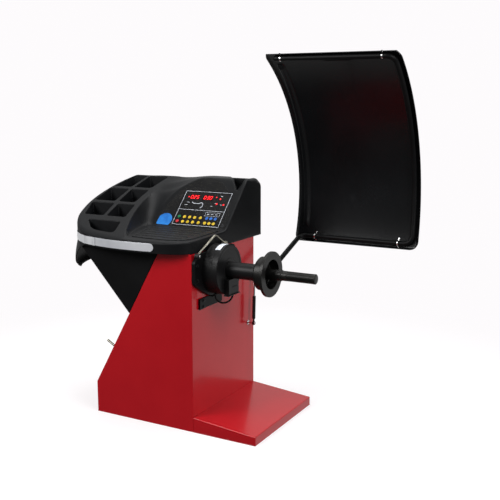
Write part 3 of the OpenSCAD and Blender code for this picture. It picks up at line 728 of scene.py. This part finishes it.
def stroke(points, width, high=PRINT, closed=False):
    """A flat line of even width printed on the panel."""
    pts = [Vector(p) for p in points]
    shapes = []
    for i in range(len(pts) if closed else len(pts) - 1):
        a, b = pts[i], pts[(i + 1) % len(pts)]
        t = (b - a).normalized() * (width / 2)
        q = Vector((-t.y, t.x))
        outline = [a - t - q, b + t - q, b + t + q, a - t + q]
        shapes.append(prism(outline, on_panel, FILM, high + i * 0.00001))
    return joined(*shapes)


def panel_arch(r, low, high):
    return [(r * math.cos(a), low + (high - low) * math.sin(a))
            for a in np.linspace(0, math.pi, 65)]


PRESS_X, KEY_ROWS = -0.071, (0.029, 0.054)


def panel_film():
    """The printed film, with a round hole for each key that moves."""
    rim = np.array(panel_arch(0.1758, 0.0022, 0.2718))
    holes = [np.array([(PRESS_X + p, y + q) for p, q in circle(0.0081, 32)]) for y in KEY_ROWS]
    flat, faces = plan_mesh(rim, [inset(rim, 0.0005)] + holes, 0.03, 0.006)
    mid = np.array([flat[list(f)].mean(0) for f in faces])
    solid = np.all([depth_in(hole, mid) < 0 for hole in holes], axis=0)
    faces = [list(f) for f, k in zip(faces, solid) if k]
    high = 0.0016 - 0.0005 * (depth_in(rim, flat) < 0.0002)
    n = len(flat)
    verts = [on_panel(p[0], p[1], h) for p, h in zip(flat, high)]
    verts += [on_panel(p[0], p[1], 0.0002) for p in flat]
    out = faces + [[n + i for i in f][::-1] for f in faces]
    for ring in [rim] + [hole[::-1] for hole in holes]:
        ids = nearest(flat, ring)
        out += [[a, n + a, n + b, b] for a, b in zip(ids, ids[1:] + ids[:1]) if a != b]
    build("panel_face", *used_only(verts, out), "root", "panel_film", ["panel_overlay"])


def panel():
    panel_film()
    left, right, low, high, split = -0.092, 0.141, 0.013, 0.194, 0.094
    wheel = [(-0.040, 0.135), (-0.030, 0.129), (-0.004, 0.129), (0.010, 0.135), (0.018, 0.129),
             (0.020, 0.113), (0.012, 0.107)]
    lines = [stroke(rectangle(left, low, right, high), 0.0012, 0.00186, closed=True),
             stroke([(left, split), (right, split)], 0.0012),
             stroke(rectangle(0.052, 0.067, 0.124, 0.085), 0.0009, 0.00188, closed=True),
             stroke(wheel, 0.0020)]
    dashes = [(-0.066, 0.133, 0.014, 0.0014), (-0.072, 0.119, 0.014, 0.0014)]
    dashes += [(x, 0.076, 0.010, 0.0020) for x in (0.062, 0.082, 0.102)]
    dashes += [(x, y, 0.007, 0.0018)
               for x, y in ((0.093, 0.175), (0.076, 0.135), (0.106, 0.129), (0.062, 0.119))]
    lines += [stroke([(x, y), (x + run, y)], width) for x, y, run, width in dashes]
    build("panel_lines", *joined(*lines), "root", "label_white")
    build("panel_lock", *turned([(1.2, 0), (1.2, 9), (2.4, 9), (2.4, 6.5), (1.8, 6), (1.8, 0)],
                                0.4, on_panel(0.158, 0.024, 0), PANEL_N, 32, 2),
          "root", "black_bolt")
    glass = [prism(rounded(rectangle(a, 0.148, b, 0.177), 0.003), on_panel, FILM, 0.0026)
             for a, b in ((-0.060, -0.012), (0.006, 0.056))]
    build("digit_windows", *joined(*glass), "root", "display_window", ["display_glass"],
          bevel=0.0003, segments=2)
    digits()
    keys()
    badge = []
    for a in np.linspace(0, 2 * math.pi, 97)[:-1]:
        r = 0.0378
        while True:
            u, v = -0.139 + r * math.cos(a), 0.028 + r * math.sin(a)
            if v > 0.0045 and (u / 0.1735) ** 2 + ((v - 0.0042) / 0.2655) ** 2 < 1:
                break
            r -= 0.0002
        badge.append((u, v))
    build("blue_disc", *prism(badge, on_panel, FILM, 0.0022), "root", "badge_blue",
          ["panel_badge"], bevel=0.0003, segments=2)


def digits():
    """Six lit digits, each of seven bars, and a few round lamps."""
    shown = {"0": "abcdef", "2": "abged", "3": "abgcd", "5": "afgcd"}
    bars = {"a": (0, 2, 0), "g": (0, 1, 0), "d": (0, 0, 0), "f": (0, 1, 1), "b": (1, 1, 1),
            "e": (0, 0, 1), "c": (1, 0, 1)}
    wide, tall, thick, slant, foot = 0.0095, 0.0165, 0.0026, 0.12, 0.1542
    shapes = []
    for x0, digit in zip((-0.056, -0.041, -0.026, 0.011, 0.026, 0.041), "025030"):
        for name in shown[digit]:
            i, j, upright = bars[name]
            x, y, half, end = x0 + i * wide, foot + j * tall / 2, thick / 2, x0 + i * wide + wide
            if upright:
                low, high = y + 0.001, y + tall / 2 - 0.001
                outline = [(x - half, low), (x, y), (x + half, low), (x + half, high),
                           (x, y + tall / 2), (x - half, high)]
            else:
                left, right = x + 0.0016, end - 0.0016
                outline = [(x + 0.0006, y), (left, y - half), (right, y - half),
                           (end - 0.0006, y), (right, y + half), (left, y + half)]
            outline = [(u + slant * (v - foot), v) for u, v in outline]
            shapes.append(prism(outline, on_panel, 0.0022, 0.0030))
    for x, y, r in ((-0.068, 0.163, 2.8), (0.072, 0.168, 3.0), (0.094, 0.160, 3.6),
                    (0.086, 0.133, 4.0), (0.121, 0.131, 4.0)):
        shapes.append(turned([(1.0, 0), (1.0, r), (2.0, r), (2.6, 0)], [0, 0, 0.4, 0],
                             on_panel(x, y, 0), PANEL_N, 24))
    build("lit_digits", *joined(*shapes), "root", "led_red", ["led_digits"])


def key_at(x, y, low=1.2, high=3.6, r=7.5):
    dome = [(low, 0), (low, r), (high - 1.0, r), (high - 0.3, r - 0.7), (high - 0.5, r - 1.6),
            (high - 0.2, r * 0.4), (high, 0)]
    return turned(dome, [0, 0, 0.3, 0.5, 0.6, 0, 0], on_panel(x, y, 0), PANEL_N, 36, 2)


def keys():
    rows, wide, right = KEY_ROWS, (-0.044, -0.018, 0.008, 0.037), (0.069, 0.090, 0.112)
    yellow = [key_at(x, y) for x in wide for y in rows] + [key_at(x, rows[0]) for x in right]
    build("film_keys_yellow", *joined(*yellow), "root", "key_yellow", ["yellow_keys"])
    build("film_keys_blue", *joined(*[key_at(x, rows[1]) for x in right]), "root", "key_blue",
          ["blue_keys"])
    for name, y, slot in (("start", rows[1], "key_green"), ("stop", rows[0], "key_red")):
        build(name + "_key", *key_at(PRESS_X, y, 2.0, 4.4, 7.5), name + "_button", slot,
              [name + "_button"])


# ---- spindle housing


def housing():
    plate = mm([(-150, 706), (-150, 615), (-74, 569), (-27, 549), (80, 549), (172, 600), (172, 716),
                (163, 736), (-112, 736)])
    build("drum_plate", *prism(rounded(plate, 0.009), yz, 0.0003, 0.016), "root", "black_paint",
          ["mounting_plate"], bevel=0.002, angle=50)
    heads = [hexagon((0.016, y, z), (1, 0, 0), 0.006, 0.0056, 0.0081)
             for y, z in mm([(-132, 690), (-132, 629), (150, 700), (150, 625)])]
    build("plate_bolt_heads", *joined(*heads), "root", "black_bolt", ["plate_bolts"])
    build("drum_body", *turned([(16.2, 60), (16.2, 101.8), (59.6, 102.5), (59.6, 60)],
                               [0, 2, 0.8, 0], AXIS, sides=128, steps=5),
          "root", "black_casting", ["drum_housing"])
    cover = [(60, 60), (60, 102.5), (85, 102.5), (85, 90), (84, 88), (84, 48), (85, 46),
             (85, 33.7), (78, 33.7), (78, 60)]
    build("drum_front", *turned(cover, [0, 0.8, 4, 1, 1, 1, 1, 1, 0, 0], AXIS, sides=128, steps=5),
          "root", "black_casting", ["drum_cover"])
    arc = np.radians(np.linspace(-31, 19, 26))
    corners = [(0.050, 0.1026), (0.0735, 0.1026), (0.0735, 0.1029), (0.050, 0.1029)]
    label = [Vector((x, r * math.sin(a), AXIS.z + r * math.cos(a))) for a in arc
             for x, r in corners]
    build("blank_label", label, loft(len(arc), 4), "root", "label_white", ["drum_label"])
    box = joined(block((0.0845, -0.040, 0.562), (0.106, 0.040, 0.625)),
                 block((0.0845, -0.046, 0.558), (0.110, 0.044, 0.5622)))
    build("cable_box", *box, "root", "box_plastic", ["terminal_box"], bevel=0.0012)
    # The slot is not cut into the box: a thin dark strip laid on its face is painted shade standing
    # in for the slot's shaded opening.
    build("cable_box_slot_shade", *block((0.1055, -0.012, 0.590), (0.1066, 0.026, 0.5945)), "root",
          "cable_rubber", bevel=0.0006)
    bar = joined(block((0.0003, -0.104, 0.505), (0.006, 0.073, 0.548)),
                 block((0.006, -0.104, 0.505), (0.009, -0.060, 0.548)),
                 block((0.006, -0.020, 0.543), (0.020, 0.073, 0.548)))
    build("cable_bar", *bar, "root", "black_paint", ["lower_bracket"], bevel=0.001)
    heads = [hexagon((0.009, -0.076, z), (1, 0, 0), 0.005, 0.0048, 0.0068) for z in (0.514, 0.538)]
    build("bar_bolt_heads", *joined(*heads), "root", "black_bolt", ["bracket_bolts"])
    build("spindle_tube", *turned(sleeve(-90, 224, 33.5, 26),
                                  [0, 1, 1.5, 1], AXIS, sides=96),
          "root", "black_casting", ["bearing_housing"])


def cable():
    ways = [(46, -47, 566.2)]
    ways += [(71 - 25 * math.cos(a), -19 - 28 * math.cos(a), 560 - 36 * math.sin(a))
             for a in np.linspace(0, math.radians(176), 25)]
    path = mm(ways)
    obj = build("sensor_lead", *tube(path, circle(0.0038, 16), (1, 0, 0)), "root", "cable_rubber",
                ["sensor_cable"])
    total = sum((Vector(b) - Vector(a)).length for a, b in zip(path, path[1:]))
    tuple(path[0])


# ---- spindle


def spindle():
    hub = [(225.5, 18), (225.5, 61), (231.5, 67), (268, 67), (268, 91), (280, 91), (280, 59),
           (240, 59), (240, 22), (323.5, 22), (325, 20.5), (325, 18)]
    soft = [0, 0.8, 0.8, 2, 1.2, 1.2, 1.2, 4, 4, 0.5, 0.5, 0]
    build("wheel_flange", *turned(hub, soft, AXIS, sides=128), "spindle", "black_steel",
          ["hub_flange"])
    pitch, start, stop, tip = 0.004, 0.345, 0.461, 0.4695
    rows = [(-0.136, 0.0001), (-0.136, 0.0118), (-0.135, 0.0125), (0.2255, 0.0125), (0.2255, 0.018),
            (0.326, 0.018), (0.326, 0.0196), (0.3264, 0.020), (0.3440, 0.020)]
    rows += [(x, None) for x in np.arange(start, stop, 0.0005)]
    rows += [(0.4620, 0.0192), (0.4630, 0.020), (tip - 0.002, 0.020), (tip, 0.0176), (tip, 0.0001)]
    sides = 64
    verts = []
    for x, r in rows:
        for k in range(sides):
            a = 2 * math.pi * k / sides
            radius = r
            if r is None:
                turn = ((x - start) / pitch - k / sides) % 1.0
                fade = min((x - start) / 0.004, (stop - x) / 0.003, 1.0)
                radius = 0.020 - 0.0019 * fade * min(1.0, 2.6 * (1 - abs(2 * turn - 1)))
            verts.append(Vector((x, radius * math.cos(a), AXIS.z + radius * math.sin(a))))
    build("wheel_shaft", verts, loft(len(rows), sides), "spindle", "black_steel",
          ["spindle_shaft"])


# ---- rim gauge


def gauge():
    rod_y, rod_z, x = 0.073, 0.750, 0.022
    apex, knob = Vector((x, -0.004, 0.799)), Vector((x, -0.146, 0.733))
    hub, bar = Vector((x, rod_y, rod_z)), (0, rod_y, rod_z)
    rod = turned(sleeve(-290, 32, 6), [0, 1, 1.2, 0], bar, sides=40)
    stops = [turned(sleeve(a, b, 9), [0, 0.8, 0.8, 0], bar, sides=32)
             for a, b in ((-289, -282.3), (-259.7, -253.7))]
    build("gauge_bar", *joined(rod, *stops), "gauge_arm", "zinc", ["gauge_rod"])
    ends = hub + (apex - hub).normalized() * 0.0095, knob + (apex - knob).normalized() * 0.010
    path = rounded([ends[0], apex, ends[1]], [0, 0.014, 0], closed=False, steps=8)
    section = rounded(rectangle(-0.004, -0.0028, 0.004, 0.0028), 0.0012, steps=3)
    eye = turned(sleeve(-7, 7, 11, 6.02), 0.6, hub, sides=40, steps=3)
    build("gauge_lever", *joined(tube(path, section, (1, 0, 0)), eye), "gauge_arm", "zinc",
          ["gauge_arm"])
    grip = turned(sleeve(-5, 15, 10.8), [0, 1, 2, 0], knob, sides=96,
                  shape=lambda a, s: 1 - 0.045 * (0.5 + 0.5 * math.cos(24 * a)))
    build("gauge_grip", *grip, "gauge_arm", "box_plastic", ["gauge_knob"])
    cap = turned([(14, 0), (14, 5.4), (16.4, 5.4), (17.4, 3), (18, 0)], [0, 0, 0.8, 0.6, 0], knob,
                 sides=32)
    build("gauge_grip_screw", *cap, "gauge_arm", "chrome")
    bush = [(-34, 6.06), (-34, 11), (4, 11), (4, 13.5), (10, 13.5), (10, 6.06)]
    build("gauge_sleeve", *turned(bush, [0, 0.5, 0, 0.5, 1.5, 0.5], bar, sides=48), "root",
          "box_plastic", ["gauge_bush"])


# ---- hood


def on_hood(x, r, degrees):
    a = math.radians(degrees)
    return Vector((x, HOOD_C[0] + r * math.cos(a), HOOD_C[1] + r * math.sin(a)))


HOOD_R, TUBE_R, TUBE_WAY = 0.800, 0.011, 0.788
ARC = (-13.7, 55.9)


def bead(x, a, b, side):
    """A smooth raised rib between a and b, with sides of that width."""
    return ease((x - a) / side) * (1 - ease((x - b + side) / side))


def hood():
    rows, cols, corner = 110, 150, 0.040
    length = HOOD_R * math.radians(ARC[1] - ARC[0])
    at = stations(length, corner, 12, rows)
    share = np.concatenate([[0, 0.003, 0.007, 0.012], np.linspace(0.018, 0.982, cols),
                            [0.988, 0.993, 0.997, 1]])
    front, back = [], []
    for s in at:
        deg = ARC[0] + math.degrees(s / HOOD_R)
        e = min(s, length - s, corner)
        cut = corner * (1 - math.sqrt(max(1 - ((corner - e) / corner) ** 2, 0)))
        left = 0.0565 + 0.012 * max(1 - ((deg - 21) / 33) ** 2, 0) + 0.3 * cut
        right = 0.6555 - cut
        x = left + (right - left) * share
        near = np.minimum(np.minimum(x - left, right - x) + 0.4 * cut, min(s, length - s))
        ends = ease((deg + 8.5) / 1.0) * (1 - ease((deg - 49.5) / 1.0))
        lift = 0.0098 * ends * bead(x, 0.0865, 0.1195, 0.008)
        lip = 0.007 * (1 - ease(near / 0.010))
        inner = HOOD_R - np.maximum(lift, lip)
        front.append([on_hood(a, r, deg) for a, r in zip(x, inner)])
        back.append([on_hood(a, r + 0.0038, deg) for a, r in zip(x, inner)])
    m, n = len(at), len(share)
    verts = [p for row in front for p in row] + [p for row in back for p in row]
    faces = []
    for i in range(m - 1):
        for j in range(n - 1):
            q = [i * n + j, i * n + j + 1, (i + 1) * n + j + 1, (i + 1) * n + j]
            faces += [q, [m * n + k for k in q[::-1]]]
    edge = ([i * n for i in range(m)] + [(m - 1) * n + j for j in range(1, n)]
            + [i * n + n - 1 for i in range(m - 2, -1, -1)] + list(range(n - 2, 0, -1)))
    for i, a in enumerate(edge):
        b = edge[(i + 1) % len(edge)]
        faces.append([a, b, m * n + b, m * n + a])
    build("hood_sheet", verts, faces, "hood", "hood_plastic", ["hood_shell"])
    pull = tube([on_hood(x, 0.7985, 52.2) for x in np.linspace(0.313, 0.437, 12)],
                [(0.003 * a, 0.0045 * b) for a, b in circle(1, 12)], (0, 1, 0))
    build("hood_pull", *pull, "hood", "hood_plastic")


def hood_frame():
    bottom, top, right, bend = -11.8, 54.3, 0.628, 0.042
    step = math.degrees(bend / TUBE_WAY)
    low = on_hood(PIVOT.x, TUBE_WAY, bottom)
    arm = (low - PIVOT).normalized()
    side_run = [on_hood(right, TUBE_WAY, a) for a in np.linspace(bottom + step, top - step, 26)]
    path = ([PIVOT + arm * 0.0195] + curve(low - arm * bend, low, low + Vector((bend, 0, 0)), 12)
            + curve(on_hood(right - bend, TUBE_WAY, bottom), on_hood(right, TUBE_WAY, bottom),
                    side_run[0], 12) + side_run[1:]
            + curve(side_run[-1], on_hood(right, TUBE_WAY, top),
                    on_hood(right - bend, TUBE_WAY, top), 12)[1:]
            + [on_hood(0.104, TUBE_WAY, top), on_hood(0.1005, TUBE_WAY, top)])
    build("hood_frame_tube", *tube(path, circle(TUBE_R, 24), (1, 0, 0)), "hood", "black_paint",
          ["hood_tube"])
    shapes = []
    for x, a in ((0.161, bottom), (0.565, bottom), (0.130, top), (0.580, top)):
        c = on_hood(x, TUBE_WAY, a)
        out = (on_hood(x, 1, a) - on_hood(x, 0, a)).normalized()
        up = Vector((1, 0, 0)).cross(out)
        saddle = [(-0.0235, 0.0106), (-0.0140, 0.0106), (-0.0122, 0.0085), (-0.0122, 0)]
        saddle += [(-0.0122 * math.cos(t), -0.0122 * math.sin(t))
                   for t in np.linspace(0, math.pi, 22)[1:-1]]
        saddle += [(0.0122, 0), (0.0122, 0.0085), (0.0140, 0.0106), (0.0235, 0.0106)]
        section = rounded(rectangle(-0.0007, -0.0029, 0.0007, 0.0029), 0.0004, steps=2)
        shapes.append(tube([c + up * p + out * q for p, q in saddle], section, out))
        for side in (-0.0190, 0.0190):
            shapes.append(turned([(7.6, 0), (7.6, 2.6), (10.2, 2.8), (10.2, 0)], [0, 0.6, 0, 0],
                                 c + up * side, out, 20))
    build("tube_clips", *joined(*shapes), "hood", "chrome", ["hood_clips"])


def hood_hinge():
    at = (0, PIVOT.y, PIVOT.z)
    shaft = [(-50, 0), (-50, 17), (-44.4, 17), (-44.4, 12.5), (98, 12.5), (98, 0)]
    build("hood_pin", *turned(shaft, [0, 1, 0.5, 0, 1.5, 0], at, sides=48), "hood", "zinc",
          ["hood_shaft"])
    bearing = [(-44, 12.56), (-44, 17.5), (0.3, 17.5), (0.3, 25), (6, 25), (6, 17.5), (20, 17.5),
               (20, 12.56)]
    build("hood_bush", *turned(bearing, [0, 1, 0, 0.5, 1.5, 1, 1.5, 0], at, sides=56), "root",
          "black_paint", ["hood_bearing"])
    pin = Vector((0, CRANK.y, CRANK.z))
    centre, eye = Vector((PIVOT.y, PIVOT.z)), Vector((pin.y, pin.z))
    away = (eye - centre).normalized()
    turn = math.atan2(away.y, away.x)
    outline = [middle + r * Vector((math.cos(a), math.sin(a)))
               for middle, r, start, end, count in (
                   (centre, 0.018, turn + 1.25, turn + 2 * math.pi - 1.25, 30),
                   (eye, 0.007, turn - 1.4, turn + 1.4, 14))
               for a in np.linspace(start, end, count)]
    web = prism(outline, yz, 0.040, 0.048)
    collar = turned(sleeve(74, 96, 18, 12.5), [0, 1.5, 1.5, 0], at, sides=48)
    stud = turned(sleeve(22, 41, 3), [0, 0.8, 0, 0], pin, sides=24)
    build("hood_lever", *joined(web, collar, stud), "hood", "black_paint", ["hood_crank"],
          bevel=0.0009, angle=60)


def strut():
    foot = Vector((0.030, 0.307, 0.354))
    along = (CRANK - foot).normalized()
    end = (CRANK - foot).length - 0.008
    on_wall = (0, foot.y, foot.z)
    nut = hexagon(on_wall, (1, 0, 0), 0.009, 0.005, 0.0105)
    pin = turned([(0, 0), (0, 4), (35, 4), (35, 7), (38, 7), (38, 0)], [0, 0, 0, 0.8, 1, 0],
                 on_wall, sides=32)
    build("strut_pin", *joined(nut, pin), "root", "chrome", ["strut_stud"])
    barrel = [(8.4, 0), (8.4, 4), (20, 4), (20, 7.5), (124, 7.5), (124, 4.06), (116, 4.06),
              (116, 0)]
    build("strut_barrel",
          *joined(turned(barrel, [0, 0, 1, 2, 2.5, 0, 0, 0], foot, along, 40),
                  turned(sleeve(-4.5, 4.5, 9, 4.06), 1.2, foot, sides=40)),
          "strut_cylinder", "strut_black", ["strut_cylinder"])
    rod = rounded(sleeve(0.062, end, 0.004), [0, 0.0006, 0, 0])
    build("strut_plunger",
          *joined(spun(rod, foot, along, 32),
                  turned(sleeve(-4, 4, 10, 6.5), 1, CRANK, sides=40)),
          "strut_rod", "chrome", ["strut_rod"])


# ---- the rest of the frame

BACKDROP = (0.985, 0.965, 0.978, 1)


def dress_cad_nodes():
    """Carried-over CAD nodes get their slot's material."""
    for name, obj in frame["nodes"].items():
        if obj.hide_render:
            continue
        obj.data.materials.clear()
        obj.data.materials.append(MATERIALS[SLOT_OF[name]])
        obj["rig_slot"] = SLOT_OF[name]


def stage():
    """A floor that is soft underneath the machine and fades into the backdrop."""
    mesh = bpy.data.meshes.new("studio_floor")
    n, half = 24, 14.0
    side = n + 1
    verts = [(-half + 2 * half * i / n, -half + 2 * half * j / n, 0) for i in range(side)
             for j in range(side)]
    faces = [(i * side + j, (i + 1) * side + j, (i + 1) * side + j + 1, i * side + j + 1)
             for i in range(n) for j in range(n)]
    mesh.from_pydata(verts, [], faces)
    floor = bpy.data.objects.new("studio_floor", mesh)
    scene.collection.objects.link(floor)
    mat = bpy.data.materials.new("studio_floor")
    mat.use_nodes = True
    node, link = wiring(mat.node_tree)
    shader = mat.node_tree.nodes["Principled BSDF"]
    for key, value in (("Base Color", (0.42, 0.415, 0.418, 1)), ("Roughness", 0.9),
                       ("Specular IOR Level", 0.0), ("Emission Color", (1, 0.98, 0.992, 1)),
                       ("Emission Strength", 0.66)):
        shader.inputs[key].default_value = value
    plain = node("Emission", Color=BACKDROP)
    place, reach, blend = node("TexCoord"), node("VectorMath"), node("MixShader")
    reach.operation = "LENGTH"
    fade = node("MapRange", From_Min=0.9, From_Max=2.2)
    fade.interpolation_type = "SMOOTHSTEP"
    link(place, "Object", reach, 0)
    link(reach, "Value", fade, "Value")
    link(fade, "Result", blend, 0)
    link(shader, "BSDF", blend, 1)
    link(plain, "Emission", blend, 2)
    link(blend, "Shader", mat.node_tree.nodes["Material Output"], "Surface")
    mesh.materials.append(mat)
    floor.visible_glossy = False
    floor.visible_diffuse = False


def light(name, place, target, size, power):
    data = bpy.data.lights.new(name, "AREA")
    data.shape = "RECTANGLE"
    data.size, data.size_y = size
    data.energy = power
    obj = bpy.data.objects.new(name, data)
    obj.location = place
    obj.rotation_mode = "QUATERNION"
    obj.rotation_quaternion = (Vector(target) - Vector(place)).to_track_quat("-Z", "Y")
    scene.collection.objects.link(obj)


def studio():
    """A pale backdrop behind and a dim room in front, with large soft lights."""
    world = bpy.data.worlds.new("studio")
    world.use_nodes = True
    world.node_tree.nodes.clear()
    node, link = wiring(world.node_tree)
    out, seen, felt = node("OutputWorld"), node("Background", Color=BACKDROP), node("Background")
    mix, path, where = node("MixShader"), node("LightPath"), node("TexCoord")
    split = node("SeparateXYZ")
    grade = node("MapRange", From_Min=-0.15, From_Max=0.85, To_Min=0.16, To_Max=0.85)
    link(where, "Generated", split, 0)
    link(split, "Y", grade, "Value")
    link(grade, "Result", felt, "Strength")
    link(path, "Is Camera Ray", mix, 0)
    link(felt, 0, mix, 1)
    link(seen, 0, mix, 2)
    link(mix, 0, out, 0)
    scene.world = world
    light("key", (-2.2, -3.6, 3.4), (-0.1, 0, 0.7), (2.2, 2.2), 170)
    light("side", (3.6, -1.2, 2.6), (0, 0, 0.6), (2.0, 2.6), 90)
    light("top", (0.2, 0.8, 4.2), (0, 0, 0.6), (3.0, 3.0), 110)
    scene.view_settings.view_transform = "Standard"


def camera():
    data = bpy.data.cameras.new("view")
    data.lens = 58.46
    data.sensor_width = 36
    data.clip_start, data.clip_end = 0.05, 60
    obj = bpy.data.objects.new("view", data)
    obj.location = (1.709, -2.780, 1.330)
    obj.rotation_euler = (math.radians(79.617), 0, math.radians(28.808))
    scene.collection.objects.link(obj)
    scene.camera = obj


make_materials()
cabinet()
pegs()
tray()
mat()
strip()
panel()
housing()
cable()
spindle()
gauge()
hood()
hood_frame()
hood_hinge()
strut()
dress_cad_nodes()
stage()
studio()
camera()
